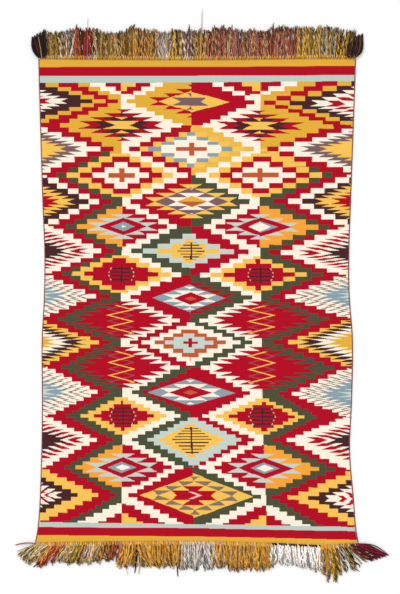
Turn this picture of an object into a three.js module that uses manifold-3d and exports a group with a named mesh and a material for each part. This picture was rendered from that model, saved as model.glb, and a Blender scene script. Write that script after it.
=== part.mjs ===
// A weft-faced wool rug lying flat: the woven cloth, a twined cord down each side, a yarn fringe at each
// end and a tassel at three of the corners.
// Millimetres, +Z up. The origin is the middle of the cloth, on its underside. +Y points to the top end.

import * as THREE from "three";
import { mergeVertices } from "three/addons/utils/BufferGeometryUtils.js";
import Module from "manifold-3d";

const wasm = await Module();
wasm.setup();

// Cloth
const CLOTH_THICKNESS = 3;
const SEAT_GAP = 0.3; // between two pieces that touch
const SIDE_STEPS = 60;
const END_STEPS = 40;

// The side edges draw in and bulge out, a row for each place along the cloth where they turn.
const SIDE_EDGES = [
  { along: 725, left: -471, right: 475 },
  { along: 600, left: -468, right: 471 },
  { along: 300, left: -459, right: 460 },
  { along: 150, left: -453, right: 455 },
  { along: 15, left: -454, right: 456 },
  { along: -125, left: -461, right: 466 },
  { along: -300, left: -460, right: 463 },
  { along: -450, left: -462, right: 457 },
  { along: -600, left: -467, right: 469 },
  { along: -680, left: -473, right: 475 },
  { along: -726, left: -481, right: 483 },
];

// The two end edges between the corners: the bottom one hangs lower towards the right.
const END_EDGES = [
  { across: -240, top: 723, bottom: -723 },
  { across: 0, top: 722, bottom: -722 },
  { across: 225, top: 724, bottom: -728 },
  { across: 370, top: 726, bottom: -734 },
];

// Twined cord down each side
const CORD_RADIUS = 1.7;
const CORD_SIDES = 8;
const CORD_STEPS = 60;
const CORD_END_GAP = 1; // the cord stops this far short of the cloth's corner

// Fringe heading: the narrow strip along the end edge that holds the roots
const HEADING_WIDTH = 7;
const HEADING_THICKNESS = 4.6;
const HEADING_STEPS = 80;
const ROOT_DEPTH = 4; // how far a lock's root runs into the heading

// A lock of fringe yarn
const LOCK_STEPS = 4;
const LOCK_WIDTH = 5.2;
const LOCK_HEIGHT = 6.4;
const LOCK_PITCH = 7.3;
const ROOT_SHARE = 0.68; // height at the root as a share of the full height
const TIP_WIDTH_LOSS = 0.45;
const TIP_HEIGHT_LOSS = 0.5;
const LENGTH_SPREAD = 11; // lengths differ by up to this much either way
const LEAN_SPREAD = 0.9; // degrees
const BEND_SPREAD = 1.6; // a lock's tip swings sideways by up to this much

// How the fringes lie: lean in degrees towards +X, a row for each place where it changes.
const TOP_LIE = [
  { across: -440, lean: -3, length: 84 },
  { across: -330, lean: 1, length: 94 },
  { across: -120, lean: 0, length: 92 },
  { across: 60, lean: 1, length: 92 },
  { across: 250, lean: 2, length: 99 },
  { across: 440, lean: 8, length: 96 },
];
const BOTTOM_LIE = [
  { across: -478, lean: -56, length: 76 },
  { across: -440, lean: -44, length: 92 },
  { across: -390, lean: -34, length: 92 },
  { across: -300, lean: -22, length: 82 },
  { across: -225, lean: -5, length: 84 },
  { across: 0, lean: 0, length: 86 },
  { across: 330, lean: 1, length: 80 },
  { across: 395, lean: 5, length: 104 },
  { across: 430, lean: 13, length: 84 },
];

// Single strands that run on well past the cut ends.
const TOP_STRAYS = [
  { across: -328, length: 124 },
  { across: 14, length: 148 },
];
const BOTTOM_STRAYS = [
  { across: -182, length: 108 },
  { across: -58, length: 120 },
];
const STRAY_WIDTH_SHARE = 0.5;

// Corner tassels: from and to are the ends of the heading. The locks fan out from the first to the last.
const TASSELS = [
  {
    name: "tassel_top_left",
    end: "top",
    from: -474,
    to: -446,
    locks: 4,
    first: { lean: -40, length: 66, bend: 16 },
    last: { lean: -5, length: 88, bend: 0 },
  },
  {
    name: "tassel_top_right",
    end: "top",
    from: 450,
    to: 477,
    locks: 4,
    first: { lean: 10, length: 88, bend: 0 },
    last: { lean: 40, length: 74, bend: -20 },
  },
  {
    name: "tassel_bottom_right",
    end: "bottom",
    from: 452,
    to: 485,
    locks: 5,
    first: { lean: 42, length: 84, bend: 8 },
    last: { lean: 64, length: 108, bend: 8 },
  },
];
const TASSEL_LOCK_WIDTH = 5.6;
const TASSEL_LOCK_HEIGHT = 9;
const TASSEL_LENGTH_SPREAD = 5;
const TASSEL_GAP = 0.6; // from the fringe's heading to the tassel's

const wool = (color) => new THREE.MeshStandardMaterial({ color, roughness: 0.95, metalness: 0 });
const COLOURS = {
  cloth: 0xb2162c,
  cord: 0xb0454d,
  fringe_top: 0xa27a3a,
  fringe_bottom: 0xb48a3a,
  tassel_top_left: 0x241b1d,
  tassel_top_right: 0x241b1d,
  tassel_bottom_right: 0x5a1320,
};

// A value from -1 to 1 that looks random but is the same for each run.
function scatter(index, salt) {
  const wave = Math.sin(index * 12.9898 + salt * 78.233) * 43758.5453;
  return 2 * (wave - Math.floor(wave)) - 1;
}

// A column of a table read at a place between its rows.
function between(rows, key, column, place) {
  const after = rows.findIndex((row) => row[key] >= place);
  if (after === 0) return rows[0][column];
  if (after < 0) return rows.at(-1)[column];
  const [low, high] = [rows[after - 1], rows[after]];
  const share = (place - low[key]) / (high[key] - low[key]);
  return THREE.MathUtils.lerp(low[column], high[column], share);
}

// The cloth's four edges as smooth lines of points: sides from bottom to top, ends from left to right.
function sideEdge(side) {
  const turns = SIDE_EDGES.toReversed().map((row) => new THREE.Vector2(row[side], row.along));
  return new THREE.SplineCurve(turns).getPoints(SIDE_STEPS);
}

function endEdge(end) {
  const corners = end === "top" ? SIDE_EDGES[0] : SIDE_EDGES.at(-1);
  const turns = [
    new THREE.Vector2(corners.left, corners.along),
    ...END_EDGES.map((row) => new THREE.Vector2(row.across, row[end])),
    new THREE.Vector2(corners.right, corners.along),
  ];
  return new THREE.SplineCurve(turns).getPoints(END_STEPS);
}

const edges = {
  left: sideEdge("left"),
  right: sideEdge("right"),
  top: endEdge("top"),
  bottom: endEdge("bottom"),
};

const alongAt = (end, across) => between(edges[end], "x", "y", across);

function extruded(points, depth) {
  return new THREE.ExtrudeGeometry(new THREE.Shape(points), { depth, bevelEnabled: false, steps: 1 });
}

// Booleans: a closed geometry as a solid, and a solid as a geometry.
function solidOf(geometry) {
  const bare = geometry.clone().deleteAttribute("normal").deleteAttribute("uv");
  const merged = mergeVertices(bare, 1e-3);
  const vertProperties = new Float32Array(merged.attributes.position.array);
  const triVerts = new Uint32Array(merged.index.array);
  return new wasm.Manifold(new wasm.Mesh({ numProp: 3, vertProperties, triVerts }));
}

function geometryOf(solid) {
  const mesh = solid.getMesh();
  const geometry = new THREE.BufferGeometry();
  geometry.setAttribute("position", new THREE.BufferAttribute(new Float32Array(mesh.vertProperties), 3));
  geometry.setIndex(new THREE.BufferAttribute(new Uint32Array(mesh.triVerts), 1));
  geometry.computeVertexNormals();
  return geometry;
}

function cloth() {
  const outline = [
    ...edges.bottom.slice(0, -1),
    ...edges.right.slice(0, -1),
    ...edges.top.toReversed().slice(0, -1),
    ...edges.left.toReversed().slice(0, -1),
  ];
  return extruded(outline, CLOTH_THICKNESS);
}

// A cord beside a side edge, flat side down on the floor.
function sideCord(side) {
  const outward = side === "left" ? -1 : 1;
  const facetRadius = CORD_RADIUS * Math.cos(Math.PI / CORD_SIDES);
  const away = outward * (SEAT_GAP + CORD_RADIUS);
  const shorten = (along) => along * (1 - CORD_END_GAP / SIDE_EDGES[0].along);
  const line = edges[side].map((p) => new THREE.Vector3(p.x + away, shorten(p.y), facetRadius));
  const section = new THREE.Shape(
    Array.from({ length: CORD_SIDES }, (_, k) => {
      const angle = ((k + 0.5) / CORD_SIDES) * 2 * Math.PI;
      return new THREE.Vector2(Math.cos(angle), Math.sin(angle)).multiplyScalar(CORD_RADIUS);
    }),
  );
  const extrudePath = new THREE.CatmullRomCurve3(line);
  return new THREE.ExtrudeGeometry(section, { extrudePath, steps: CORD_STEPS, bevelEnabled: false });
}

// The strip just past an end edge that holds the fringe's roots.
function heading(end, from, to) {
  const outward = end === "top" ? 1 : -1;
  const steps = Math.max(1, Math.round((HEADING_STEPS * (to - from)) / edges[end].at(-1).x / 2));
  const line = (offset) =>
    Array.from({ length: steps + 1 }, (_, k) => {
      const across = THREE.MathUtils.lerp(from, to, k / steps);
      return new THREE.Vector2(across, alongAt(end, across) + outward * offset);
    });
  const ring = [...line(SEAT_GAP), ...line(SEAT_GAP + HEADING_WIDTH).toReversed()];
  return extruded(ring, HEADING_THICKNESS);
}

// A four-sided lock that lies on the floor: it swells past its root, thins to its tip and bends sideways.
function lock({ end, across, lean, length, width, height, bend }) {
  const outward = end === "top" ? 1 : -1;
  const box = new THREE.BoxGeometry(1, 1, 1, 1, LOCK_STEPS, 1);
  const place = box.attributes.position;
  for (let i = 0; i < place.count; i++) {
    const t = place.getY(i) + 0.5;
    const swell = ROOT_SHARE + (1 - ROOT_SHARE) * Math.sin(Math.min(1, 3 * t) * Math.PI * 0.5);
    const x = place.getX(i) * width * (1 - TIP_WIDTH_LOSS * t ** 3) + outward * bend * t * t;
    const z = (place.getZ(i) + 0.5) * height * swell * (1 - TIP_HEIGHT_LOSS * t ** 2);
    place.setXYZ(i, x, length * t, z);
  }
  const towards = THREE.MathUtils.degToRad(-lean);
  box.rotateZ(end === "top" ? towards : Math.PI - towards);
  const root = alongAt(end, across) + outward * (SEAT_GAP + HEADING_WIDTH - ROOT_DEPTH);
  return box.translate(across, root, 0);
}

const fused = (strip, locks) =>
  geometryOf(locks.reduce((solid, piece) => solid.add(solidOf(piece)), solidOf(strip)));

// A fringe: its heading with a row of locks, each a little unlike its neighbours.
function fringe(end, lie, strays, from, to) {
  const count = Math.floor((to - from) / LOCK_PITCH);
  const pitch = (to - from) / count;
  const salt = end === "top" ? 0 : 10;
  const locks = Array.from({ length: count }, (_, k) => {
    const across = from + (k + 0.5) * pitch;
    const stray = strays.find((row) => Math.abs(row.across - across) <= pitch / 2);
    const usualLength = between(lie, "across", "length", across) + LENGTH_SPREAD * scatter(k, salt + 2);
    return lock({
      end,
      across,
      lean: between(lie, "across", "lean", across) + LEAN_SPREAD * scatter(k, salt + 1),
      length: stray?.length ?? usualLength,
      width: LOCK_WIDTH * (stray ? STRAY_WIDTH_SHARE : 1),
      height: LOCK_HEIGHT * (stray ? STRAY_WIDTH_SHARE : 0.9 + 0.1 * scatter(k, salt + 3)),
      bend: BEND_SPREAD * scatter(k, salt + 4),
    });
  });
  return fused(heading(end, from, to), locks);
}

// A corner tassel: thicker locks that fan out from a short heading.
function tassel({ end, from, to, locks, first, last }) {
  const fan = Array.from({ length: locks }, (_, k) => {
    const share = k / (locks - 1);
    const part = (column) => THREE.MathUtils.lerp(first[column], last[column], share);
    return lock({
      end,
      across: THREE.MathUtils.lerp(from + TASSEL_LOCK_WIDTH / 2, to - TASSEL_LOCK_WIDTH / 2, share),
      lean: part("lean"),
      length: part("length") + TASSEL_LENGTH_SPREAD * scatter(k, from),
      width: TASSEL_LOCK_WIDTH,
      height: TASSEL_LOCK_HEIGHT,
      bend: part("bend"),
    });
  });
  return fused(heading(end, from, to), fan);
}

// A fringe's heading runs from corner to corner, or to the tassel there.
function fringeSpan(end) {
  const left = TASSELS.find((row) => row.end === end && row.to < 0);
  const right = TASSELS.find((row) => row.end === end && row.from > 0);
  return {
    from: left ? left.to + TASSEL_GAP : edges[end][0].x,
    to: right ? right.from - TASSEL_GAP : edges[end].at(-1).x,
  };
}

const rug = new THREE.Group();

function place(name, geometry, colour) {
  const mesh = new THREE.Mesh(geometry, wool(colour));
  mesh.name = name;
  rug.add(mesh);
}

place("cloth", cloth(), COLOURS.cloth);
place("cord_left", sideCord("left"), COLOURS.cord);
place("cord_right", sideCord("right"), COLOURS.cord);

const topSpan = fringeSpan("top");
const bottomSpan = fringeSpan("bottom");
place("fringe_top", fringe("top", TOP_LIE, TOP_STRAYS, topSpan.from, topSpan.to), COLOURS.fringe_top);
place(
  "fringe_bottom",
  fringe("bottom", BOTTOM_LIE, BOTTOM_STRAYS, bottomSpan.from, bottomSpan.to),
  COLOURS.fringe_bottom,
);
TASSELS.forEach((row) => place(row.name, tassel(row), COLOURS[row.name]));

export default rug;
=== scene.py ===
"""A weft-faced wool rug lying flat on a pale floor, seen from straight above.

The cloth, the cord down each side, the fringe at each end and the corner tassels are modelled over
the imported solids, in metres. The cloth's pattern is a lattice of terraced diamonds, worked out in its
material.
"""

import bpy
import numpy as np
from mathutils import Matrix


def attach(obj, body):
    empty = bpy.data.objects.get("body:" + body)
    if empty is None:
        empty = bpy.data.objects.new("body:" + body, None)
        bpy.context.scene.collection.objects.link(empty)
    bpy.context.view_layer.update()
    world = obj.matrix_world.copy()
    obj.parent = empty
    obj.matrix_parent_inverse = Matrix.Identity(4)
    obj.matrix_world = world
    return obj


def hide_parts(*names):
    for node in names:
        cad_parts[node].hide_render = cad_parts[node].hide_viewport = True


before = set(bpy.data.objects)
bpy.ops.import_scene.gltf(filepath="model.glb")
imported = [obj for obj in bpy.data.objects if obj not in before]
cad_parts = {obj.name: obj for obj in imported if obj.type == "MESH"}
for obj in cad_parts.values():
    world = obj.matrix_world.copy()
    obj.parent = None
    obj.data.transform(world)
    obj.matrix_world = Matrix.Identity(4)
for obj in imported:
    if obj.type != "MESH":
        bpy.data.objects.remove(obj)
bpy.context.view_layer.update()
bpy.ops.object.select_all(action="DESELECT")

MM = 0.001
DICE = np.random.default_rng(11)
UP = np.array((0.0, 0.0, 1.0))

# Dyed wools, as the eye sees them
DYES = {
    "red": "#B60121",
    "cream": "#FFF5E1",
    "gold": "#E8B13A",
    "yellow": "#FCC658",
    "amber": "#F3BC49",
    "orange": "#FCA738",
    "brown": "#482328",
    "green": "#4C4F38",
    "pale": "#C9D6CC",
    "teal": "#BFCFC4",
    "blue": "#8DA3AB",
    "rust": "#C65A34",
    "mauve": "#7D6064",
    "fawn": "#80524A",
    "drab": "#8A7563",
    "dusk": "#A84A58",
    "rose": "#EBC4B5",
    "soot": "#1F1719",
    "umber": "#6B4523",
    "ochre": "#B98327",
    "olive": "#8A7A35",
    "ginger": "#C9812A",
    "tan": "#C29A63",
    "ash": "#A79C91",
    "chalk": "#D9D0C4",
    "snow": "#F1EAE8",
    "plum": "#7E5A5E",
    "rosewood": "#A05A45",
    "crimson": "#A11224",
    "maroon": "#561020",
}


def light_of(dye):
    """A dye as linear red, green and blue."""
    channels = np.array([int(DYES[dye][k : k + 2], 16) for k in (1, 3, 5)]) / 255
    return np.where(channels < 0.04045, channels / 12.92, ((channels + 0.055) / 1.055) ** 2.4)


# The lattice

# Lines across the cloth, in mm along it at its left side, middle and right side. Even rows run
# through the diamonds down the sides and the middle. The first four rows and the last four bound the
# stripes at the ends.
LATTICE_ROWS = (
    # row, left, middle, right
    (-1.80, 725, 722, 725),
    (-1.40, 700, 701, 704),
    (-1.05, 673, 674, 675),
    (-0.75, 652, 654, 659),
    (0, 598, 596, 588),
    (2, 455, 455, 455),
    (4, 296, 296, 298),
    (6, 148, 148, 140),
    (8, 16, 5, 16),
    (10, -124, -126, -123),
    (12, -274, -276, -283),
    (14, -418, -416, -418),
    (16, -583, -584, -595),
    (17.00, -665, -672, -680),
    (17.25, -678.5, -682, -690),
    (17.60, -703, -708, -718),
    (17.90, -726, -722, -732),
)

# Lines down the cloth, in mm across it: the middle of the three inner columns of diamonds.
LATTICE_COLUMNS = (
    # along, left, middle, right
    (600, -227, -15, 192),
    (220, -221, -15, 189),
    (-55, -229, -19, 195),
    (-345, -220, -18, 197),
    (-595, -224, -8, 208),
)
COLUMN_SPACING = 211  # mm
LEFT_SPACING = 240  # from an inner column to the side
RIGHT_SPACING = 272
ROW_SPACING = 73
CLOTH_REACH = 460  # from the middle to a side, roughly

# Each half diamond, from its core outwards: a dye, the place where it ends, the next dye and so on.
# Places are shares of the spacing of the columns. A border with ~ has teeth, one with / is straight,
# any other has steps. A slope is how far a border moves across the columns from one row to the next.
SIDE_LEFT_CELLS = (
    # slope of straight borders and teeth, slope of steps, length of the teeth, bands
    (0.80, 0.85, 0.18, "red .12~ cream .32~ brown .63 gold .79 red .955"),
    (0.72, 0.80, 0.18, "yellow .31~ mauve .49~ cream .73 red .90"),
    (0.70, 0.66, 0.18, "red .22~ yellow .40~ brown .58 cream .715 red .87"),
    (0.69, 0.63, 0.20, "brown .33~ cream .44~ red .57~ cream .75 red .91"),
    (0.63, 0.65, 0.20, "pale .12~ blue .29~ cream .39~ fawn .43~ cream .52~ fawn .56~ cream .67 red .85"),
    (0.66, 0.76, 0.20, "gold .19~ cream .35~ brown .54~ yellow .73 red .87"),
    (0.62, 0.63, 0.20, "pale .12~ blue .31~ cream .41~ fawn .45~ cream .54~ fawn .58~ cream .68 red .84"),
    (0.72, 0.64, 0.18, "brown .31~ cream .39~ red .51~ cream .67 red .88"),
    (0.69, 0.73, 0.14, "red .05~ cream .10~ red .15~ cream .24~ brown .45 yellow .71 red .94"),
)
SIDE_RIGHT_CELLS = (
    (0.80, 0.83, 0.18, "cream .13~ red .27~ cream .44~ brown .66 gold .82 red .955"),
    (0.78, 0.88, 0.18, "yellow .34~ mauve .54~ cream .79 red .92"),
    (0.66, 0.63, 0.18, "red .20~ yellow .38~ brown .52 cream .68 red .85"),
    (0.69, 0.65, 0.20, "brown .30~ cream .42~ red .56~ cream .765 red .90"),
    (0.68, 0.70, 0.20, "pale .14~ blue .36~ cream .45~ fawn .49~ cream .58~ fawn .62~ cream .74 red .905"),
    (0.66, 0.71, 0.20, "gold .27~ cream .41~ brown .57~ yellow .70 red .865"),
    (0.64, 0.62, 0.20, "pale .14~ blue .37~ cream .44~ fawn .48~ cream .55~ fawn .59~ cream .675 red .825"),
    (0.70, 0.64, 0.18, "brown .28~ cream .37~ red .51~ cream .725 red .895"),
    (0.72, 0.76, 0.14, "red .10~ cream .16~ red .22~ cream .36~ brown .525 yellow .745 red .94"),
)
MIDDLE_LEFT_CELLS = (
    (1.05, 0.77, 0.30, "mauve .29~ yellow .45/ red .60~ gold .91"),
    (0.92, 0.92, 0, "blue .615 yellow .725 red .89"),
    (1.00, 0.77, 0.30, "gold .22/ cream .37~ mauve .54/ yellow .69~ red .89"),
    (0.95, 0.95, 0, "yellow .48 pale .685 green .86"),
    (0.92, 0.77, 0.30, "red .25/ cream .40~ blue .55/ red .87"),
    (0.80, 0.80, 0, "pale .37 rust .52 cream .71 red .885"),
    (1.10, 0.77, 0.30, "red .30/ cream .45~ blue .62/ red .69 green .85"),
    (0.70, 0.70, 0, "yellow .477 pale .645 green .885"),
    (1.05, 0.77, 0.26, "red .36~ yellow .49/ drab .62~ yellow .75/ red .91"),
)
MIDDLE_RIGHT_CELLS = (
    (1.20, 0.77, 0.30, "mauve .29~ yellow .54/ red .915"),
    (0.92, 0.92, 0, "blue .59 yellow .745 amber .90"),
    (1.00, 0.77, 0.30, "gold .22/ cream .37~ mauve .53/ yellow .68~ green .84"),
    (0.95, 0.95, 0, "yellow .40 pale .61 red .84"),
    (0.88, 0.77, 0.30, "red .25/ cream .38~ blue .49/ red .64~ green .88"),
    (0.80, 0.80, 0, "pale .33 rust .50 cream .71 green .885"),
    (1.10, 0.77, 0.30, "red .30/ cream .45~ blue .61/ red .83"),
    (0.70, 0.70, 0, "yellow .46 pale .70 red .89"),
    (1.05, 0.77, 0.26, "red .36~ yellow .53/ drab .66~ yellow .815/ green .93"),
)
INNER_LEFT_CELLS = (
    (0.70, 0.70, 0, "red .42 cream .60 gold 1"),
    (0.95, 0.70, 0.30, "yellow .22~ brown .40~ red .54~ gold 1"),
    (0.70, 0.70, 0, "cream .36 red .53 yellow .69 green 1"),
    (0.90, 0.64, 0.30, "cream .03/ blue .16/ red .31/ pale .46~ orange .58 green 1"),
    (0.62, 0.62, 0, "red .47 yellow .62 green 1"),
    (0.66, 0.62, 0.30, "red .56~ green 1"),
    (0.66, 0.62, 0.30, "red .57~ green 1"),
    (0.60, 0.60, 0, "red .35 yellow .52 green 1"),
    (0.90, 0.66, 0.30, "cream .095/ blue .18/ red .32/ pale .47~ orange .58 green 1"),
    (0.66, 0.66, 0, "red .28 cream .53 green 1"),
)
INNER_RIGHT_CELLS = (
    (0.88, 0.88, 0, "red .51 cream .68 gold 1"),
    (0.84, 0.70, 0.27, "yellow .19~ brown .345~ red .465~ gold 1"),
    (0.70, 0.70, 0, "cream .375 red .52 yellow .665 green 1"),
    (0.90, 0.70, 0.25, "blue .20/ red .36/ pale .45~ orange .645 green 1"),
    (0.66, 0.66, 0, "red .385 yellow .52 green 1"),
    (0.66, 0.64, 0.28, "red .57~ green 1"),
    (0.66, 0.64, 0.28, "red .59~ green 1"),
    (0.56, 0.56, 0, "red .36 yellow .465 green 1"),
    (0.86, 0.66, 0.26, "cream .10/ blue .16/ red .315/ pale .42~ orange .60 green 1"),
    (0.58, 0.58, 0, "red .25 cream .475 green 1"),
)
INNER_INWARD_CELLS = (
    (0.77, 0.77, 0, "yellow .46 red .67 cream 1"),
    (0.95, 0.77, 0.30, "yellow .27~ brown .45~ red .62~ cream 1"),
    (0.77, 0.77, 0, "cream .39 red .57 yellow .735 cream 1"),
    (1.00, 0.77, 0.30, "cream .05/ blue .18/ red .355/ pale .505~ red .655 cream 1"),
    (0.77, 0.77, 0, "red .52 yellow .705 cream 1"),
    (0.77, 0.77, 0.30, "red .68~ cream 1"),
    (0.77, 0.77, 0.30, "red .68~ cream 1"),
    (0.77, 0.77, 0, "red .45 yellow .64 cream 1"),
    (1.00, 0.77, 0.30, "cream .105/ blue .18/ red .36/ pale .51~ red .69 cream 1"),
    (0.77, 0.77, 0, "yellow .30 red .60 cream 1"),
)
# Where the side and the middle diamonds end on the rows between them, as shares of the columns' spacing
MEETINGS = (
    # left side, right side, middle left, middle right
    (0.235, 0.120, 0.140, 0),
    (0.225, 0.203, 0.132, 0.160),
    (0.180, 0.220, 0.053, 0.070),
    (0.265, 0.228, 0.204, 0.165),
    (0.245, 0.304, 0.145, 0.135),
    (0.227, 0.254, 0.143, 0.118),
    (0.240, 0.200, 0.170, 0.150),
    (0.290, 0.385, 0.152, 0.172),
    (0.270, 0.219, 0.145, 0.090),
    (0.290, 0.374, 0.140, 0.160),
)
# Two inner diamonds meet in a block of their outermost dye, taller on the first row and on the last.
BLOCK_HEIGHT = 0.18  # above and below the row
BLOCK_STRETCH = 0.12  # on those two rows
BLOCK_START = 0.86  # from the side or the middle
GREEN_BLOCKS_FROM = 1.5  # the even row; those above it are gold
# Above the first row, on the right, the borders lie flatter.
FLATTER = 0.2  # for the side and the middle diamonds
FLATTER_INWARD = 0.21  # for the inner one, towards the middle
END_STRIPES = (
    # from row, to row, dye
    (-2.50, -1.40, "gold"),
    (-1.40, -1.05, "red"),
    (-1.05, -0.75, "teal"),
    (17.00, 17.25, "teal"),
    (17.25, 17.60, "red"),
    (17.60, 18.50, "gold"),
)

# Figures inside the diamonds. Sizes are in mm from the diamond's middle.
RUST_CROSS = (46, 19, 6)  # reach of the arms, reach of the post, half the width of the arms
RED_CROSS = (22, 14, 3.5)
INNER_CROSS = (40, 19, 6.5)
LONGER_ARMS = 16  # of the inner cross on the right
POST_SHARE = 1.3  # a cross's post is this many times as thick as its arms
SPARSE_COMB = (0.40, 9, 26, 42, 1.0)  # the bars' share of their pitch, pitch, height, reach, taper
DENSE_COMB = (0.34, 8.6, 38, 60, 1.15)
INNER_COMB = (0.42, 12, 27, 38, 0.45)
INNER_COMB_EDGE = (0.42, 12, 27, 41, 0.45)
COMB_POST = 2.5  # half its width
CREAM_LENS = (34, 14)  # half its width, half its height
CHEVRON = (18, 3, 7, 9)  # place of its point, spread of its legs, half its width, height
ZIGZAG = (38, 74, 5, 46)  # pitch, width, shift along the cloth, height
ZIGZAG_LINES = (5, 6)  # half the width of the one behind, of the one in front
# Sizes of figures as shares of the columns' spacing
PALE_CORE = 0.43  # where it ends on its own row
PALE_CORE_SLOPE = 0.92
PALE_CORE_SHIFT = 0.2  # of its steps
LOWER_LENS = 0.2
EMBER = 0.1
# A corner of one inner diamond on the right is yellow all the way out.
YELLOW_CORNER = (0.66, 0.7, 24)  # its start, its slope, its lowest place in mm

# Steps of a border from one row to the next: one more at the top of the cloth, and more of them
# lower down.
STEPS = 5
MORE_STEPS = 2
MORE_STEPS_FROM = 6  # the row
MORE_STEPS_RATE = 0.28
SIDE_TEETH = 9  # from one row to the next
MIDDLE_TEETH = 6
STEP_JITTER = 0.03
STEP_SEEDS = (40, 17.3, 311.7)  # for an odd row, for each row, for each column
PATTERN_STEP = 2.2 * MM  # the pattern's finest step across the warp
WARP_PITCH = 4.4 * MM
WEFT_PITCH = 1.3 * MM
CELLS_PER_RAMP = 3
RAMP_STEP = 0.012  # a little more than the finest place that such a ramp can tell

# The cloth
CLOTH_SIZE = (0.95, 1.45)
CLOTH_THICKNESS = 3 * MM
CLOTH_GRID = (120, 180)
SIDE_LIFT = 0.35 * MM  # of the ripple along the sides
SIDE_LIFT_FALL = 22  # how fast the lift fades, across the cloth
SWELL = 0.25 * MM  # all over the cloth
SOFT_EDGE = 0.9 * MM

# How much each part of the weave darkens or brightens the dyes; the darkening between ribs and between
# beads is painted shade
PLAIN_SHADE = 0.86
PICK_SHADE = 0.05
DYEING_SHADE = 0.08
FUZZ_SHADE = 0.10
RIB_HOLLOW_PAINTED_SHADE = 0.06
BEAD_HOLLOW_PAINTED_SHADE = 0.04
# The same for yarns, whose grooves between the plies get painted shade
YARN_SHADE = 0.62
PLY_GROOVE_PAINTED_SHADE = 0.30
YARN_FUZZ_SHADE = 0.30
PLY_TWIST = 5 * MM
BUMP = 0.5 * MM  # of the weave and of the plies

# Fringes: where their locks start and stop across the cloth, in mm.
TOP_SPAN = (-445, 449)
BOTTOM_SPAN = (-480, 458)
# How they lie. Lean is in degrees towards +X, sizes in mm.
TOP_LIE = (
    # across, lean, length
    (-440, -3, 78),
    (-380, 1, 80),
    (-350, 2, 90),
    (-322, 3, 88),
    (-305, 0, 80),
    (-215, 0, 80),
    (-200, 2, 90),
    (-140, 1, 84),
    (-118, 0, 76),
    (-84, 0, 76),
    (-72, 2, 90),
    (0, 0, 85),
    (35, 1, 90),
    (250, 2, 89),
    (350, 4, 85),
    (420, 10, 84),
    (449, 26, 82),
)
BOTTOM_LIE = (
    (-478, -56, 66),
    (-440, -44, 82),
    (-408, -37, 80),
    (-385, -32, 64),
    (-330, -24, 70),
    (-290, -20, 68),
    (-236, -16, 54),
    (-228, -3, 74),
    (-200, -6, 80),
    (-160, 3, 68),
    (-60, 0, 72),
    (-44, 0, 82),
    (50, 0, 82),
    (60, 0, 72),
    (80, 0, 78),
    (224, 1, 74),
    (236, 2, 52),
    (300, 7, 64),
    (370, 3, 74),
    (380, 5, 88),
    (398, 6, 106),
    (414, 9, 96),
    (426, 12, 76),
    (440, 30, 80),
    (447, 50, 86),
    (458, 64, 88),
)

# The wools of the locks from this place across up to the next row's, in mm.
TOP_YARNS = (
    (-446, "ochre olive umber tan"),
    (-406, "tan umber chalk ash umber"),
    (-373, "rust umber rosewood umber"),
    (-342, "crimson crimson crimson umber"),
    (-321, "tan umber ash umber chalk"),
    (-298, "ochre umber tan olive"),
    (-205, "ochre umber tan ginger"),
    (-139, "ginger ochre tan umber"),
    (-118, "ash chalk ash tan"),
    (-80, "olive tan gold umber"),
    (-50, "ash umber chalk tan plum"),
    (-5, "ochre tan umber"),
    (28, "rosewood rosewood rust tan plum umber"),
    (304, "gold ochre olive tan umber"),
    (376, "ash soot olive tan"),
    (415, "ochre gold umber olive soot"),
)
BOTTOM_YARNS = (
    (-481, "olive tan gold chalk"),
    (-431, "rust ginger rosewood tan crimson"),
    (-390, "ash tan chalk olive gold"),
    (-356, "olive ochre gold"),
    (-327, "tan gold plum chalk"),
    (-280, "umber rosewood maroon ochre"),
    (-247, "maroon rust umber"),
    (-228, "ginger gold ochre tan"),
    (-46, "chalk chalk ash"),
    (52, "gold ochre tan ginger"),
    (226, "snow snow cream"),
    (373, "ochre gold ochre olive"),
    (415, "olive umber tan soot umber chalk"),
)
LOCK_LAYERS = (
    # locks, strands in each, strand's radius and lift in mm, brightness as painted light and shade, pull
    # towards the middle of a clump, spread of the leans in degrees
    # The dark first layer is painted shade in the gaps between locks; the second layer is brightened as
    # painted light
    (360, 1, 2.1, 0.0, 0.40, 0.10, 3.0),
    (230, 3, 1.05, 2.2, 1.20, 0.30, 6.5),
)
STRAND_SIDES = 5
STRAND_POINTS = 17
LOCK_RADIUS = 1.3 * MM  # of the circle of its strands
LOCK_TWIST = 26 * MM
LOCK_WAVE = 2.0  # mm aside
LOCK_WAVE_TURNS = (1.2, 3.0)
CLUMPS = 46  # locks of a clump lean together
LENGTH_SPREAD = 0.05  # of the clumps, and of the locks in a clump
DARK_TIPS = 0.35  # the share of strands with a dark tip
DARK_TIP_DEPTH = 0.7
WOOL_BLEND = 3  # mm by which locks stray into the next row's wools
TINTS = (0.8, 1.2)  # the least and the most, from strand to strand
UNEVEN_TINTS = (0.7, 1.3)  # along a strand, or from yarn to yarn of a tassel
RADII = (0.85, 1.15)  # from strand to strand
UNEVEN_RADII = (0.93, 1.07)  # along a strand
FLOOR_GAP = 2.6 * MM  # from the floor to the line of the lowest yarns
ROOT_GAP = 2.3 * MM  # from the cloth's end to the roots
ROOT_LIFT = 1.2 * MM  # of the yarns where they leave the cloth
ROOT_LIFT_FALL = 9  # how fast it fades along a yarn
SHARES = np.linspace(0, 1, STRAND_POINTS)  # from root to tip

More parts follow.
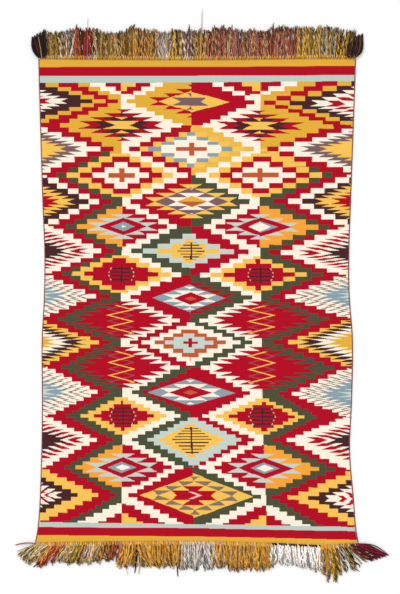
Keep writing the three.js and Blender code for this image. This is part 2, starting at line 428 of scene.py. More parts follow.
# Single threads: most of them run on well past the cut ends.
STRAYS = (
    # end, across, lean, length, bend, radius, lift, dye
    (1, -463, -8, 66, -2, 1.2, 9, "tan"),
    (1, -328, 1, 123, 0, 0.7, 4, "ash"),
    (1, 14, 0, 149, 3, 1.1, 4, "tan"),
    (-1, -480, -100, 62, 16, 1.9, 4, "rosewood"),
    (-1, -479, -68, 66, 0, 0.9, 4, "rosewood"),
    (-1, -222, 4, 102, 10, 0.7, 4, "rosewood"),
    (-1, -178, -4, 90, 0, 1.9, 0, "soot"),
    (-1, -172, -7, 94, -2, 2.0, 0, "soot"),
    (-1, -160, -8, 97, 0, 1.3, 4, "ginger"),
    (-1, -60, 1, 104, 2, 2.1, 0, "umber"),
    (-1, 450, 66, 92, 2, 0.9, 4, "plum"),
)

TASSELS = (
    # name, end, from, to, yarns, first yarn's lean, length and bend, last yarn's, wools
    ("tassel_top_left", 1, -476, -446, 90, (-38, 62, 22), (-4, 86, 0), "soot soot soot soot brown"),
    ("tassel_top_right", 1, 450, 477, 90, (14, 68, -4), (46, 70, -34), "soot soot soot brown umber"),
    (
        "tassel_bottom_right", -1, 456, 485, 110, (48, 84, 8), (66, 100, 6),
        "maroon maroon maroon crimson brown",
    ),
)
TASSEL_HEIGHT = 6 * MM
TASSEL_STRAND = 1.6 * MM
TASSEL_INSET = 3  # mm from its solid's sides to its yarns' roots
TASSEL_LENGTHS = (0.82, 1.02)  # the least and the most, from yarn to yarn
TASSEL_BULGE = 4  # mm aside, as TASSEL_WAVE
TASSEL_WAVE = 0.8
TASSEL_WAVE_TURNS = (1.0, 2.0)

# The cord down each side: two plies twisted together.
CORD_CENTRE = 2.0 * MM  # out from the cloth's edge
CORD_PLY_RADIUS = 0.85 * MM
CORD_PLY_OFFSET = 0.80 * MM
CORD_TWIST = 9 * MM
CORD_INSET = 1 * MM  # from the cloth's corners
CORD_POINTS = 1200
CORD_WOOLS = ("rosewood", "crimson")

# The loops that bind each end, seen from its side: out from the cloth's end and up, in mm.
LOOP_PROFILE = ((-1.0, 2.4), (0.0, 4.8), (2.5, 6.8), (5.5, 7.4), (8.5, 6.6), (10.5, 4.4))
LOOP_PITCH = 5.0
LOOP_RADIUS = 2.0 * MM
LOOP_SLANT = 1.6  # mm aside, at each of its ends
LOOP_LIGHTS = ("yellow", "amber", "gold", "rose")
LOOP_OWN_SHARE = 0.5  # of the fringe's own wool in a loop's tint
LOOP_LIGHT_SHARE = 0.55
DARK_STITCHES = (226, 373)  # across the bottom end, in mm
DARK_STITCH_SIZE = 0.55
DARK_STITCH_RUN = 6  # the first of so many is left light


class Value:
    """A shader socket. Sums, products and comparisons of values add Math nodes to its tree."""

    def __init__(self, socket):
        self.socket = socket

    def node(self, kind, sockets=None, output=0, stops=(), **settings):
        """Adds a node to the tree: its settings come first, then the values or links of its sockets."""
        tree = self.socket.id_data
        made = tree.nodes.new(kind)
        for name, setting in settings.items():
            setattr(made, name, setting)
        if stops:
            ramp = made.color_ramp
            ramp.interpolation = "CONSTANT"
            ramp.elements.remove(ramp.elements[1])
            for k, (place, colour) in enumerate(stops):
                element = ramp.elements.new(place) if k else ramp.elements[0]
                element.position = place
                element.color = (*colour, 1)
        for name, value in (sockets or {}).items():
            if isinstance(value, Value):
                tree.links.new(value.socket, made.inputs[name])
            else:
                made.inputs[name].default_value = value
        return Value(made.outputs[output])

    def maths(self, operation, *others):
        """A Math node that works on this value and others."""
        return self.node("ShaderNodeMath", dict(enumerate((self, *others))), operation=operation)

    def __add__(self, other):
        return self.maths("ADD", other)

    def __sub__(self, other):
        return self.maths("SUBTRACT", other)

    def __rsub__(self, other):
        return self.maths("MULTIPLY_ADD", -1, other)

    def __mul__(self, other):
        return self.maths("MULTIPLY", other)

    def __truediv__(self, other):
        return self.maths("DIVIDE", other)

    def __mod__(self, other):
        return self.maths("FLOORED_MODULO", other)

    def __lt__(self, other):
        return self.maths("LESS_THAN", other)

    def __gt__(self, other):
        return self.maths("GREATER_THAN", other)

    def __or__(self, other):
        return self.maths("MAXIMUM", other)

    def __abs__(self):
        return self.maths("ABSOLUTE")

    __radd__ = __add__
    __rmul__ = __mul__
    __and__ = __mul__

    def rounded(self):
        return self.maths("ROUND")

    def floor(self):
        return self.maths("FLOOR")

    def kept(self, low, high):
        """This value, kept between two limits."""
        return self.maths("MAXIMUM", low).maths("MINIMUM", high)

    def wave(self, pitch):
        """A zigzag from 0 to 1 and back along this value."""
        return self.maths("PINGPONG", pitch / 2) / (pitch / 2)

    def parts(self):
        """The three parts of a vector or a colour."""
        first = self.node("ShaderNodeSeparateXYZ", {"Vector": self})
        return [Value(output) for output in first.socket.node.outputs]

    def ramp(self, stops):
        """The colour of the last stop before this value."""
        return self.node("ShaderNodeValToRGB", {"Fac": self}, "Color", stops)

    def mixed(self, other, share, blend="MIX"):
        """This colour turned towards another by a share."""
        colour = (*light_of(other), 1) if isinstance(other, str) else other
        sockets = {0: share, 6: self, 7: colour}
        return self.node("ShaderNodeMix", sockets, output=2, data_type="RGBA", blend_type=blend)


def read_chart(chart):
    """Where each dye of a chart starts, and its zones: the stretches between borders without teeth.

    A zone has its start, whether there are teeth in it, and how low and how high a place in it may be.
    The last zone ends at the first border with steps, and all borders after that one have steps too.
    """
    words = chart.split()
    ends = [float(word.rstrip("~/")) for word in words[1::2]]
    dyes = [(start, light_of(dye)) for start, dye in zip([0, *ends], words[::2])]
    toothed = [end for end, word in zip(ends, words[1::2]) if word.endswith("~")]
    straight = [end for end, word in zip(ends, words[1::2]) if word.endswith("/")]
    first_step = min(end for end in ends if end not in toothed + straight)
    bounds = [0, *straight, first_step]
    zones = []
    for low, high in zip(bounds, bounds[1:]):
        has_teeth = any(low < place < high for place in toothed)
        zones.append((low, (has_teeth, low + RAMP_STEP, high - RAMP_STEP)))
    return dyes, zones, first_step, ends[-1]


def looked_up(row, place, tables):
    """What a row's table says for a place from 0 to 1. A colour ramp holds the tables of a few rows."""
    spot = row + place.kept(0, 0.99)
    found = None
    for first in range(0, len(tables), CELLS_PER_RAMP):
        stops = []
        for k, table in enumerate(tables[first : first + CELLS_PER_RAMP]):
            stops += [((k + start) / CELLS_PER_RAMP, entry) for start, entry in table]
        part = ((spot - first) / CELLS_PER_RAMP).ramp(stops)
        found = found.mixed(part, row > first - 0.5) if found else part
    return found


def cell_colour(cells, row, out, down, stepped_down, teeth):
    """The dye of a half diamond, and where it ends on its own row.

    row says which half diamond it is. out and down are the point's distances from its middle,
    stepped_down is the one that goes in steps, and teeth is a wave along the border.
    """
    charts = [read_chart(cell[3]) for cell in cells]
    size = len(cells)
    sizes = []
    limits = []
    for k, (line_slope, step_slope, tooth_length, _) in enumerate(cells):
        sizes.append((k / size, (line_slope / 2, step_slope / 2, tooth_length)))
        limits.append((k / size, (*charts[k][2:], 0)))
    spot = (row + 0.5) / size
    half_line_slope, half_step_slope, length = spot.ramp(sizes).parts()
    first_step, end, _ = spot.ramp(limits).parts()
    line = out + down * half_line_slope * 2
    steps = out + stepped_down * half_step_slope * 2
    has_teeth, low, high = looked_up(row, line, [chart[1] for chart in charts]).parts()
    toothed_line = (line + has_teeth * teeth * length).kept(low, high)
    reach = toothed_line + (steps > first_step) * (steps - toothed_line)
    return looked_up(row, reach, [chart[0] for chart in charts]), end


def cross(x, y, arm, post, width):
    """An upright cross, with sizes in mm from its middle."""
    return ((abs(x) < arm) & (abs(y) < width)) | ((abs(x) < width * POST_SHARE) & (abs(y) < post))


def comb(x, y, bars, pitch, height, reach, taper, shift=0):
    """Level bars across a thin post, shorter towards the ends.

    bars is the bars' share of the pitch, and shift moves them by a share of it.
    """
    high = abs(y)
    bar = ((y / pitch + 0.5 * bars + shift) % 1 < bars) & (abs(x) < reach - high * taper)
    post = abs(x) < COMB_POST
    return (bar | post) & (high < height)


def rug_pattern(shader):
    """The rug's terraced diamonds, with their figures and the stripes at both ends."""
    start = Value(shader.outputs["BSDF"])
    x, y, _ = start.node("ShaderNodeTexCoord", output="Object").parts()
    column, row, _ = start.node("ShaderNodeUVMap", uv_map="lattice").parts()
    column = column + (((x / PATTERN_STEP).floor() + 0.5) * PATTERN_STEP - x) / (COLUMN_SPACING * MM)
    row = row - (((y / WEFT_PITCH).floor() + 0.5) * WEFT_PITCH - y) / (ROW_SPACING * MM)

    above = row.floor()
    more_steps = ((above - MORE_STEPS_FROM) * MORE_STEPS_RATE).rounded().kept(0, MORE_STEPS)
    count = STEPS + more_steps + (above < 0.5)
    even = (row / 2).rounded()
    odd = (row / 2).floor() + 1
    inside = abs(column) < 1
    right = column > 0

    down = row.wave(2)
    step = (down * count).rounded()
    odd_seed, row_seed, column_seed = STEP_SEEDS
    nearest = even + (step > count * 0.5) * (odd + odd_seed - even)
    spot = step + nearest * row_seed + column.floor() * column_seed
    chance = start.node("ShaderNodeTexWhiteNoise", {"W": spot}, noise_dimensions="1D")
    out = 1 - abs(abs(column) - 1) + (chance - 0.5) * STEP_JITTER
    stepped_down = step / count
    side_teeth = 0.5 - (down * SIDE_TEETH) % 1
    middle_teeth = 0.5 - (down * MIDDLE_TEETH) % 1
    inner_teeth = 0.5 - ((1 - down) * MIDDLE_TEETH) % 1

    top_right = right & (above < -0.5)
    flatter = 1 + top_right * FLATTER
    from_even = (even, out, down * flatter, stepped_down * flatter)
    from_odd = (odd, 1 - out, 1 - down, 1 - stepped_down)
    left_side, left_side_end = cell_colour(SIDE_LEFT_CELLS, *from_even, side_teeth)
    right_side, right_side_end = cell_colour(SIDE_RIGHT_CELLS, *from_even, side_teeth)
    left_middle, left_middle_end = cell_colour(MIDDLE_LEFT_CELLS, *from_even, middle_teeth)
    right_middle, right_middle_end = cell_colour(MIDDLE_RIGHT_CELLS, *from_even, middle_teeth)
    left_inner, _ = cell_colour(INNER_LEFT_CELLS, *from_odd, inner_teeth)
    right_inner, _ = cell_colour(INNER_RIGHT_CELLS, *from_odd, inner_teeth)
    flat_from_odd = (odd, (1 - out) * (1 - top_right * FLATTER_INWARD), *from_odd[2:])
    inward, _ = cell_colour(INNER_INWARD_CELLS, *flat_from_odd, inner_teeth)

    def either(left_value, right_value):
        """One value left of the middle column, another one right of it."""
        return left_value + right * (right_value - left_value)

    between = (odd + 0.5) / len(MEETINGS)
    side_meetings = [(k / len(MEETINGS), (*places[:2], 0)) for k, places in enumerate(MEETINGS)]
    middle_meetings = [(k / len(MEETINGS), (*places[2:], 0)) for k, places in enumerate(MEETINGS)]
    side_meeting = either(*between.ramp(side_meetings).parts()[:2])
    middle_meeting = either(*between.ramp(middle_meetings).parts()[:2])
    side_end = either(left_side_end, right_side_end)
    middle_end = either(left_middle_end, right_middle_end)
    past_side = out + stepped_down * (side_end - side_meeting) > side_end
    past_middle = out + stepped_down * (middle_end - middle_meeting) > middle_end
    inner = past_side + inside * (past_middle - past_side)

    end_row = abs(even - 4) > 3.5  # the first of the even rows, and the last
    block = (down < BLOCK_HEIGHT + end_row * BLOCK_STRETCH) & (out > BLOCK_START)
    outward = left_inner.mixed(right_inner, right)
    outward = outward.mixed("green", block & (even > GREEN_BLOCKS_FROM))
    outward = outward.mixed("gold", block & (even < GREEN_BLOCKS_FROM))
    even_colour = left_side.mixed(right_side, right).mixed(left_middle.mixed(right_middle, right), inside)
    odd_colour = outward.mixed(inward.mixed("cream", block), inside)
    colour = even_colour.mixed(odd_colour, inner)

    # Figures, placed from the middle of their diamond
    side_spacing = either(LEFT_SPACING, RIGHT_SPACING)
    middle_x = column * COLUMN_SPACING
    middle_y = (even * 2 - row) * ROW_SPACING
    inner_x = (abs(column) - 1) * (side_spacing + inside * (COLUMN_SPACING - side_spacing))
    inner_y = (odd * 2 - 1 - row) * ROW_SPACING
    middle = inside & (1 - inner)

    def middle_cell(number):
        """Where one diamond of the middle column is."""
        return middle & (abs(even - number) < 0.5)

    def inner_cell(number):
        """Where the inner diamonds of one row are."""
        return inner & (abs(odd - number) < 0.5)

    core_steps = (down * STEPS + PALE_CORE_SHIFT).floor() / STEPS
    pale_core = middle_cell(1) & (out + core_steps * PALE_CORE_SLOPE < PALE_CORE)
    colour = colour.mixed("cream", pale_core)
    rust_cross = middle_cell(1) & cross(middle_x, middle_y, *RUST_CROSS)
    colour = colour.mixed("rust", rust_cross)
    arm, post, width = INNER_CROSS
    inner_cross = inner_cell(2) & cross(inner_x, inner_y, arm + right * LONGER_ARMS, post, width)
    colour = colour.mixed("rust", inner_cross)
    start_place, slope, lowest = YELLOW_CORNER
    corner = inner_cell(2) & right & (1 - inside) & (inner_y > lowest)
    colour = colour.mixed("yellow", corner & (1 - out + (1 - stepped_down) * slope > start_place))
    cream_lens = inner_cell(3) & right & (abs(inner_x) / CREAM_LENS[0] + abs(inner_y) / CREAM_LENS[1] < 1)
    colour = colour.mixed("cream", cream_lens)
    diamond = out + down
    lower_lens = middle_cell(2) & (diamond < LOWER_LENS) & (middle_y < 0)
    colour = colour.mixed("rust", lower_lens)
    red_cross = middle_cell(5) & cross(middle_x, middle_y, *RED_CROSS)
    colour = colour.mixed("red", red_cross)

    ember = (middle_cell(4) | middle_cell(6)) & (diamond < EMBER)
    colour = colour.mixed("rust", ember)
    point, spread, width, height = CHEVRON
    chevron = abs(middle_x + abs(middle_y) * spread - point) < width
    colour = colour.mixed("rose", middle_cell(8) & chevron & (abs(middle_y) < height))

    sparse_comb = middle_cell(3) & comb(middle_x, middle_y, *SPARSE_COMB)
    colour = colour.mixed("brown", sparse_comb)
    dense_comb = middle_cell(7) & comb(middle_x, middle_y, *DENSE_COMB)
    colour = colour.mixed("brown", dense_comb)
    marked = inner_cell(4) | inner_cell(7)
    half_pitch = inner_cell(4) * 0.5
    colour = colour.mixed("rose", marked & comb(inner_x, inner_y, *INNER_COMB_EDGE, half_pitch))
    colour = colour.mixed("brown", marked & comb(inner_x, inner_y, *INNER_COMB, half_pitch))

    pitch, width, shift, height = ZIGZAG
    swing = ((inner_y + shift).wave(pitch) - 0.5) * width
    zigzag = (inner_cell(5) | inner_cell(6)) & (abs(inner_y) < height)
    colour = colour.mixed("dusk", zigzag & (abs(inner_x + swing) < ZIGZAG_LINES[0]))
    colour = colour.mixed("yellow", zigzag & (abs(inner_x - swing) < ZIGZAG_LINES[1]))

    for first, last, dye in END_STRIPES:
        colour = colour.mixed(dye, (row > first) & (row < last))
    return colour, x, y


def new_wool(name):
    """A material for wool, and its shader."""
    material = bpy.data.materials.new(name)
    material.use_nodes = True
    shader = material.node_tree.nodes["Principled BSDF"]
    shader.inputs["Roughness"].default_value = 0.92
    shader.inputs["Specular IOR Level"].default_value = 0.1
    shader.inputs["Sheen Weight"].default_value = 0.05
    shader.inputs["Sheen Roughness"].default_value = 0.6
    return material, shader


def wire(shader, colour, height):
    """Links a colour, and a height as bump, to a shader."""
    tree = shader.id_data
    bump = colour.node("ShaderNodeBump", {"Strength": 0.6, "Distance": BUMP, "Height": height})
    tree.links.new(colour.socket, shader.inputs["Base Color"])
    tree.links.new(bump.socket, shader.inputs["Normal"])


def woven_wool():
    """The cloth's wool: fine wefts packed over ribs of warp, each pick a little different in shade."""
    material, shader = new_wool("woven_wool")
    colour, x, y = rug_pattern(shader)
    rib = (x / WARP_PITCH).wave(1)
    odd_rib = (x / WARP_PITCH).rounded() % 2
    bead = (y / WEFT_PITCH + odd_rib * 0.5).wave(1)
    pick = colour.node("ShaderNodeTexWhiteNoise", {"W": (y / WEFT_PITCH).floor()}, noise_dimensions="1D")
    place = colour.node("ShaderNodeTexCoord", output="Object")
    dyeing = colour.node("ShaderNodeTexNoise", {"Vector": place, "Scale": 9.0, "Detail": 3.0})
    fuzz = colour.node("ShaderNodeTexNoise", {"Vector": place, "Scale": 900.0, "Detail": 2.0})
    shade = PLAIN_SHADE + pick * PICK_SHADE + dyeing * DYEING_SHADE + fuzz * FUZZ_SHADE
    # Painted shade: darker in the hollows between the warp ribs and between the weft beads
    shade = shade - rib * RIB_HOLLOW_PAINTED_SHADE - (1 - bead) * BEAD_HOLLOW_PAINTED_SHADE
    wire(shader, colour.mixed(shade, 1.0, "MULTIPLY"), (1 - rib) * 0.7 + bead * 0.3 + fuzz * 0.2)
    return material


def plied_wool():
    """Yarn of two plies twisted together, in each yarn's own tint."""
    material, shader = new_wool("plied_wool")
    start = Value(shader.outputs["BSDF"])
    tint = start.node("ShaderNodeAttribute", attribute_name="tint")
    around, along, _ = start.node("ShaderNodeUVMap", uv_map="ply").parts()
    groove = (around * 2 + along / PLY_TWIST).wave(1)
    place = start.node("ShaderNodeTexCoord", output="Object")
    fuzz = start.node("ShaderNodeTexNoise", {"Vector": place, "Scale": 700.0, "Detail": 2.0})
    # Painted shade: darker in the grooves between the two plies
    shade = YARN_SHADE + groove * PLY_GROOVE_PAINTED_SHADE + fuzz * YARN_FUZZ_SHADE
    wire(shader, tint.mixed(shade, 1.0, "MULTIPLY"), groove + fuzz * 0.4)
    return material


def outline_edges():
    """The four edges of the solid cloth, from corner to corner, as places along and across each edge."""
    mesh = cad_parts["cloth"].data
    points = np.unique([vertex.co[:2] for vertex in mesh.vertices], axis=0)
    ring = points[np.argsort(np.arctan2(points[:, 1], points[:, 0]))]
    corners = [int(np.argmax(ring @ way)) for way in ((-1, -1), (1, -1), (1, 1), (-1, 1))]
    ring = np.roll(ring, -corners[0], axis=0)
    _, right, far, left = [corner - corners[0] for corner in corners]
    ring = np.concatenate([ring, ring[:1]])
    return {
        "bottom": ring[: right + 1].T,
        "right": ring[right : far + 1, ::-1].T,
        "top": ring[far : left + 1][::-1].T,
        "left": ring[left:, ::-1][::-1].T,
    }


EDGES = outline_edges()


def edge_at(edge, place):
    """Where an edge lies, in metres, at places along it."""
    return np.interp(place, *EDGES[edge])


def lattice_at(x, y):
    """The column and the row of the lattice at points of the cloth, in mm."""
    rows = np.array(LATTICE_ROWS)
    left, middle, right = (np.interp(-y, -rows[:, k], rows[:, 0]) for k in (1, 2, 3))
    share = np.clip(x / CLOTH_REACH, -1, 1)
    row = middle + np.where(share < 0, (middle - left) * share, (right - middle) * share)

    lines = np.array(LATTICE_COLUMNS)
    left, middle, right = (np.interp(-y, -lines[:, 0], lines[:, k]) for k in (1, 2, 3))
    column = np.select(
        [x < left, x < middle, x < right],
        [(x - left) / LEFT_SPACING - 1, (x - middle) / (middle - left), (x - middle) / (right - middle)],
        (x - right) / RIGHT_SPACING + 1,
    )
    return column, row


def make_cloth():
    """The woven cloth: a sheet on its solid's outline, a little lifted along its drawn-in sides."""
    bpy.ops.mesh.primitive_grid_add(x_subdivisions=CLOTH_GRID[0], y_subdivisions=CLOTH_GRID[1], size=2)
    cloth = bpy.context.object
    cloth.name = "rug_cloth"
    mesh = cloth.data
    places = np.empty(len(mesh.vertices) * 3)
    mesh.vertices.foreach_get("co", places)
    share = (places.reshape(-1, 3)[:, :2] + 1) / 2

    rough_y = (share[:, 1] - 0.5) * CLOTH_SIZE[1]
    left = edge_at("left", rough_y)
    x = left + share[:, 0] * (edge_at("right", rough_y) - left)
    bottom = edge_at("bottom", x)
    y = bottom + share[:, 1] * (edge_at("top", x) - bottom)
    from_side = np.minimum(share[:, 0], 1 - share[:, 0])
    ripple = np.sin(y * 31 + np.sign(x) * 1.3) + np.sin(y * 53 + np.sign(x) * 2.1 + 0.7)
    lift = np.exp(-from_side * SIDE_LIFT_FALL) * (ripple + 2) * SIDE_LIFT
    swell = (np.sin(x * 9 + y * 4) * np.sin(y * 7 - x * 3 + 1) + 1) * SWELL
    z = CLOTH_THICKNESS + lift + swell
    mesh.vertices.foreach_set("co", np.stack([x, y, z], axis=1).ravel())

    column, row = lattice_at(x / MM, y / MM)
    corners = np.empty(len(mesh.loops), dtype=int)
    mesh.loops.foreach_get("vertex_index", corners)
    lattice = mesh.uv_layers.new(name="lattice")
    lattice.uv.foreach_set("vector", np.stack([column, row], axis=1)[corners].ravel())
    mesh.update()

    thick = cloth.modifiers.new("thickness", "SOLIDIFY")
    thick.thickness = CLOTH_THICKNESS
    thick.offset = -1
    soft_edge = cloth.modifiers.new("soft_edge", "BEVEL")
    soft_edge.width = SOFT_EDGE
    soft_edge.segments = 2
    for modifier in ("thickness", "soft_edge"):
        bpy.ops.object.modifier_apply(modifier=modifier)
    bpy.ops.object.shade_smooth_by_angle(angle=0.9)
    return cloth


def lengths_along(lines):
    """How far each point is along its yarn."""
    steps = np.linalg.norm(np.diff(lines, axis=1), axis=2).cumsum(axis=1)
    return np.concatenate([np.zeros((len(lines), 1)), steps], axis=1)


def yarn_mesh(name, lines, radii, tints, level=UP):
    """Many yarns as one mesh. lines holds a row of points for each yarn, radii a radius for each point.

    tints holds a colour for each point, or one for each yarn. level is a direction that no yarn runs
    along.
    """
    sides = STRAND_SIDES
    count, points = lines.shape[:2]
    along = np.gradient(lines, axis=1)
    along /= np.linalg.norm(along, axis=2, keepdims=True)
    sideways = np.cross(along, level)
    sideways /= np.linalg.norm(sideways, axis=2, keepdims=True)
    upwards = np.cross(sideways, along)
    turn = np.linspace(0, 2 * np.pi, sides, endpoint=False)
    ring = sideways[:, :, None] * np.cos(turn)[:, None] + upwards[:, :, None] * np.sin(turn)[:, None]
    corners = lines[:, :, None] + radii[:, :, None, None] * ring

    index = np.arange(count * points * sides).reshape(count, points, sides)
    near, far = index[:, :-1], index[:, 1:]
    quads = np.stack([near, far, np.roll(far, -1, axis=2), np.roll(near, -1, axis=2)], axis=-1)
    caps = np.concatenate([index[:, 0], index[:, -1, ::-1]])
    mesh = bpy.data.meshes.new(name)
    mesh.from_pydata(corners.reshape(-1, 3), [], quads.reshape(-1, 4).tolist() + caps.tolist())

    length = lengths_along(lines)
    shape = quads.shape[:3]
    around = np.broadcast_to(np.arange(sides) / sides, shape)
    start = np.broadcast_to(length[:, :-1, None], shape)
    end = np.broadcast_to(length[:, 1:, None], shape)
    next_around = around + 1 / sides
    ply = np.stack([around, start, around, end, next_around, end, next_around, start], axis=-1).ravel()
    ply = np.concatenate([ply, np.zeros(caps.size * 2)])
    mesh.uv_layers.new(name="ply").uv.foreach_set("vector", ply)
    tint = np.ones((count, points, sides, 4))
    tint[..., :3] = np.broadcast_to(tints, lines.shape)[:, :, None]
    mesh.color_attributes.new("tint", "FLOAT_COLOR", "POINT").data.foreach_set("color", tint.ravel())
    mesh.polygons.foreach_set("use_smooth", np.ones(len(mesh.polygons), dtype=bool))
    piece = bpy.data.objects.new(name, mesh)
    bpy.context.collection.objects.link(piece)
    return piece


def laid_lines(end, across, lean, length, aside, lift):
    """Yarns that leave an end of the cloth and lie down on the floor.

    end is 1 for the top end, -1 for the bottom one. across, lean in radians, length and lift have a
    number for each yarn, aside has one for each point.
    """
    root_y = edge_at("top" if end > 0 else "bottom", across) + end * ROOT_GAP
    ahead = np.stack([np.sin(lean), end * np.cos(lean)], axis=-1)[:, None]
    sideways = np.stack([np.cos(lean), -end * np.sin(lean)], axis=-1)[:, None]
    root = np.stack([across, root_y], axis=-1)[:, None]
    flat = root + ahead * (length[:, None] * SHARES)[..., None] + sideways * aside[..., None]
    z = FLOOR_GAP + lift[:, None] * (1 - SHARES**3) + ROOT_LIFT * np.exp(-ROOT_LIFT_FALL * SHARES)
    return np.concatenate([flat, z[..., None]], axis=-1)


def waves(count, size, turns):
    """Gentle waves along yarns, as far aside as size or so, with this many turns at least and at most."""
    phase = DICE.uniform(0, 2 * np.pi, (count, 1))
    rate = DICE.uniform(*turns, (count, 1))
    swing = np.sin(2 * np.pi * rate * SHARES + phase) - np.sin(phase)
    return DICE.normal(0, size, (count, 1)) * swing * SHARES**0.5


def wound_strands(locks, strands):
    """The strands of each lock, wound round its line, a little looser towards the tip."""
    ahead = np.gradient(locks, axis=1)
    sideways = np.cross(ahead, UP)
    sideways /= np.linalg.norm(sideways, axis=2, keepdims=True)
    turn = DICE.uniform(0, 2 * np.pi, (len(locks), 1)) + 2 * np.pi * lengths_along(locks) / LOCK_TWIST
    away = LOCK_RADIUS * (0.8 + 0.7 * SHARES**2)
    lines = []
    for k in range(strands):
        angle = turn + 2 * np.pi * k / strands
        beside = (away * np.cos(angle))[..., None] * sideways
        above = (away * (1 + np.sin(angle)) * 0.8)[..., None] * UP
        lines.append(locks + beside + above)
    return np.concatenate(lines)


def strand_radii(count, radius):
    """A radius for each point of each strand: a little uneven, and thin at the tip."""
    size = radius * DICE.uniform(*RADII, (count, 1))
    return size * (1 - 0.5 * SHARES**8) * DICE.uniform(*UNEVEN_RADII, (count, STRAND_POINTS))


def wool_tints(wools, across):
    """A tint for each strand, by its place across, in mm."""
    starts = [row[0] for row in wools]
    places = across + DICE.normal(0, WOOL_BLEND, len(across))
    rows = np.searchsorted(starts, places, side="right") - 1
    dyes = [DICE.choice(wools[max(row, 0)][1].split()) for row in rows]
    return np.array([light_of(dye) for dye in dyes]) * DICE.uniform(*TINTS, (len(across), 1))


def strand_tints(tints):
    """A tint for each point of each strand: a little uneven along it, and dark at some of the tips."""
    tips = 1 - DARK_TIP_DEPTH * np.clip((SHARES - 0.75) / 0.2, 0, 1)
    dark = DICE.uniform(0, 1, (len(tints), 1)) < DARK_TIPS
    shade = np.where(dark, tips, 1) * DICE.uniform(*UNEVEN_TINTS, (len(tints), STRAND_POINTS))
    return tints[:, None] * shade[..., None]


def make_fringe(name, end, lie, wools, span):
    """A fringe: a dark layer of locks as painted shade in the gaps and a bright layer as painted light,
    leaning together in clumps, and a few long threads.
    """
    lie = np.array(lie, dtype=float)
    clumps = DICE.uniform(*span, CLUMPS)
    clump_lengths = DICE.normal(1, LENGTH_SPREAD, CLUMPS)
    lines = []
    radii = []
    tints = []
    for count, strands, radius, lift, painted_light_and_shade, pull, spread in LOCK_LAYERS:
        across = span[0] + (np.arange(count) + DICE.uniform(0, 1, count)) * (span[1] - span[0]) / count
        clump = np.abs(across[:, None] - clumps).argmin(axis=1)
        lean = np.interp(across, lie[:, 0], lie[:, 1]) + DICE.normal(0, spread, count)
        length = np.interp(across, lie[:, 0], lie[:, 2]) * clump_lengths[clump]
        length = length * DICE.normal(1, LENGTH_SPREAD, count)
        aside = ((clumps[clump] - across) * pull)[:, None] * SHARES**2
        aside = aside + waves(count, LOCK_WAVE, LOCK_WAVE_TURNS)
        lifts = np.full(count, lift * MM)
        locks = laid_lines(end, across * MM, np.radians(lean), length * MM, aside * MM, lifts)
        lines.append(wound_strands(locks, strands))
        radii.append(strand_radii(count * strands, radius * MM))
        # The brightness darkens the under layer as painted shade and lightens the top layer as painted
        # light
        tints.append(strand_tints(wool_tints(wools, np.tile(across, strands)) * painted_light_and_shade))

    strays = [row for row in STRAYS if row[0] == end]
    place, lean, length, bend, radius, lift = np.array([row[1:7] for row in strays], dtype=float).T
    aside = bend[:, None] * SHARES**2 * MM
    lines.append(laid_lines(end, place * MM, np.radians(lean), length * MM, aside, lift * MM))
    radii.append(strand_radii(len(strays), radius[:, None] * MM))
    stray_tints = np.array([light_of(row[7]) for row in strays])
    tints.append(np.repeat(stray_tints[:, None], STRAND_POINTS, axis=1))
    return yarn_mesh(name, np.concatenate(lines), np.concatenate(radii), np.concatenate(tints))


def make_tassel(name, end, start, stop, count, first, last, wools):
    """A corner tassel: a thick bundle of yarns, most of them near its first yarn or near its last."""
    share = DICE.beta(0.5, 0.5, count)
    lean, length, bend = (low + (high - low) * share for low, high in zip(first, last))
    across = start + TASSEL_INSET + share * (stop - start - 2 * TASSEL_INSET)
    length = length * DICE.uniform(*TASSEL_LENGTHS, count)
    lift = np.abs(DICE.normal(0, 0.5, count)).clip(0, 1.2) * TASSEL_HEIGHT
    bulge = DICE.normal(0, TASSEL_BULGE, (count, 1)) * np.sin(np.pi * SHARES)
    aside = bend[:, None] * SHARES**2 + bulge + waves(count, TASSEL_WAVE, TASSEL_WAVE_TURNS)
    lines = laid_lines(end, across * MM, np.radians(lean), length * MM, aside * MM, lift)
    dyes = DICE.choice(wools.split(), count)
    tints = np.array([light_of(dye) for dye in dyes]) * DICE.uniform(*UNEVEN_TINTS, (count, 1))
    return yarn_mesh(name, lines, strand_radii(count, TASSEL_STRAND), tints[:, None])


def make_cord(name, side):
    """The cord down a side: two plies wound round each other."""
    outward = -1 if side == "left" else 1
    ends = EDGES[side][0]
    y = np.linspace(ends[0] + CORD_INSET, ends[-1] - CORD_INSET, CORD_POINTS)
    x = edge_at(side, y) + outward * CORD_CENTRE
    turn = 2 * np.pi * y / CORD_TWIST
    plies = []
    for phase in (0, np.pi):
        offset = CORD_PLY_OFFSET * np.stack([np.cos(turn + phase), np.sin(turn + phase)])
        plies.append(np.stack([x + offset[0], y, CORD_PLY_OFFSET + CORD_PLY_RADIUS + offset[1]], axis=1))
    radii = np.full((2, CORD_POINTS), CORD_PLY_RADIUS)
    tints = np.array([light_of(dye) for dye in CORD_WOOLS])
    return yarn_mesh(name, np.array(plies), radii, tints[:, None])


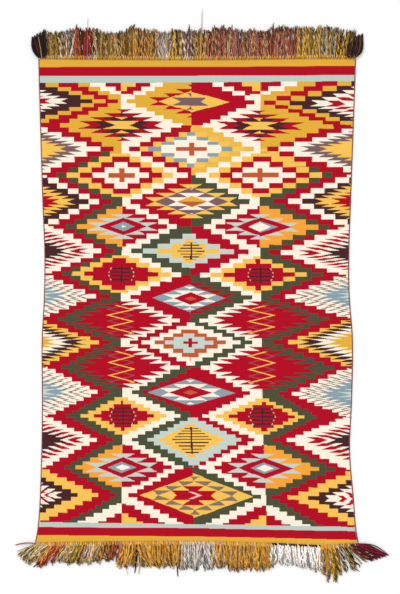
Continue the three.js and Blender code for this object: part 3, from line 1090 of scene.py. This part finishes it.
def make_loops(name, end, wools, span):
    """The row of loops that binds an end of the cloth and holds the fringe."""
    count = int((span[1] - span[0]) / LOOP_PITCH)
    across = span[0] + (np.arange(count) + 0.5) * (span[1] - span[0]) / count
    profile = np.array(LOOP_PROFILE) * MM
    tints = wool_tints(wools, across) * LOOP_OWN_SHARE
    tints += np.array([light_of(dye) for dye in DICE.choice(LOOP_LIGHTS, count)]) * LOOP_LIGHT_SHARE
    in_run = (across > DARK_STITCHES[0]) & (across < DARK_STITCHES[1]) & (end < 0)
    dark = in_run & (np.arange(count) % DARK_STITCH_RUN > 0)
    tints[dark] = light_of("soot")
    size = np.where(dark, DARK_STITCH_SIZE, 1) * DICE.uniform(0.7, 1.15, count)
    slant = np.linspace(-LOOP_SLANT, LOOP_SLANT, len(profile))
    x = across[:, None] + slant + DICE.normal(0, 0.6, (count, 1))
    edge = edge_at("top" if end > 0 else "bottom", across * MM)
    y = edge[:, None] + end * profile[:, 0] * size[:, None]
    z = np.broadcast_to(profile[:, 1], y.shape)
    radii = np.full(y.shape, LOOP_RADIUS)
    level = np.array((1.0, 0.0, 0.0))
    return yarn_mesh(name, np.stack([x * MM, y, z], axis=-1), radii, tints[:, None], level=level)


def finish_piece(piece, material, slot, *nodes):
    """Gives a piece its material and says which solids it stands for; slot is not used."""
    piece.data.materials.clear()
    piece.data.materials.append(material)
    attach(piece, "root")
    if nodes:
        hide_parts(*nodes)


woven = woven_wool()
plied = plied_wool()

cloth = make_cloth()
finish_piece(cloth, woven, "cloth_wool", "cloth")

trimmings = []
for side in ("left", "right"):
    cord = make_cord(f"side_cord_{side}", side)
    finish_piece(cord, plied, "cord_wool", f"cord_{side}")
    trimmings.append(cord)

for end, word, lie, wools, span in (
    (1, "top", TOP_LIE, TOP_YARNS, TOP_SPAN),
    (-1, "bottom", BOTTOM_LIE, BOTTOM_YARNS, BOTTOM_SPAN),
):
    yarns = make_fringe(f"fringe_yarns_{word}", end, lie, wools, span)
    finish_piece(yarns, plied, "fringe_wool", f"fringe_{word}")
    corners = EDGES[word][0][[0, -1]] / MM
    loops = make_loops(f"binding_loops_{word}", end, wools, corners)
    finish_piece(loops, plied, "fringe_wool")
    trimmings += [yarns, loops]

for name, *sizes in TASSELS:
    bundle = make_tassel(f"{name}_yarns", *sizes)
    finish_piece(bundle, plied, "maroon_wool" if "bottom" in name else "black_wool", name)
    trimmings.append(bundle)

# The floor, the light and the camera
FRAME_HEIGHT = 1.782  # what the picture takes in, from top to bottom
VIEW_CENTRE = (10.5 * MM, 10.5 * MM)
FOCAL_LENGTH = 100  # mm
SENSOR = 36

bpy.ops.mesh.primitive_plane_add(size=8, location=(0, 0, -0.5 * MM))
floor = bpy.context.object
floor.name = "floor"
paper = bpy.data.materials.new("white_floor")
paper.use_nodes = True
paper.node_tree.nodes["Principled BSDF"].inputs["Base Color"].default_value = (0.95, 0.95, 0.95, 1)
paper.node_tree.nodes["Principled BSDF"].inputs["Roughness"].default_value = 0.9
floor.data.materials.append(paper)

world = bpy.data.worlds.new("soft_room")
world.use_nodes = True
world.node_tree.nodes["Background"].inputs["Color"].default_value = (1, 1, 1, 1)
world.node_tree.nodes["Background"].inputs["Strength"].default_value = 0.72
bpy.context.scene.world = world

bpy.ops.object.light_add(type="SUN", rotation=(np.radians(-26), np.radians(-24), 0))
lamp = bpy.context.object
lamp.data.energy = 1.35
lamp.data.angle = 0.7

camera_place = (*VIEW_CENTRE, FRAME_HEIGHT * FOCAL_LENGTH / SENSOR)
bpy.ops.object.camera_add(location=camera_place, rotation=(0, 0, 0))
camera = bpy.context.object
camera.data.lens = FOCAL_LENGTH
camera.data.sensor_width = SENSOR
bpy.context.scene.camera = camera
bpy.context.scene.view_settings.view_transform = "Standard"
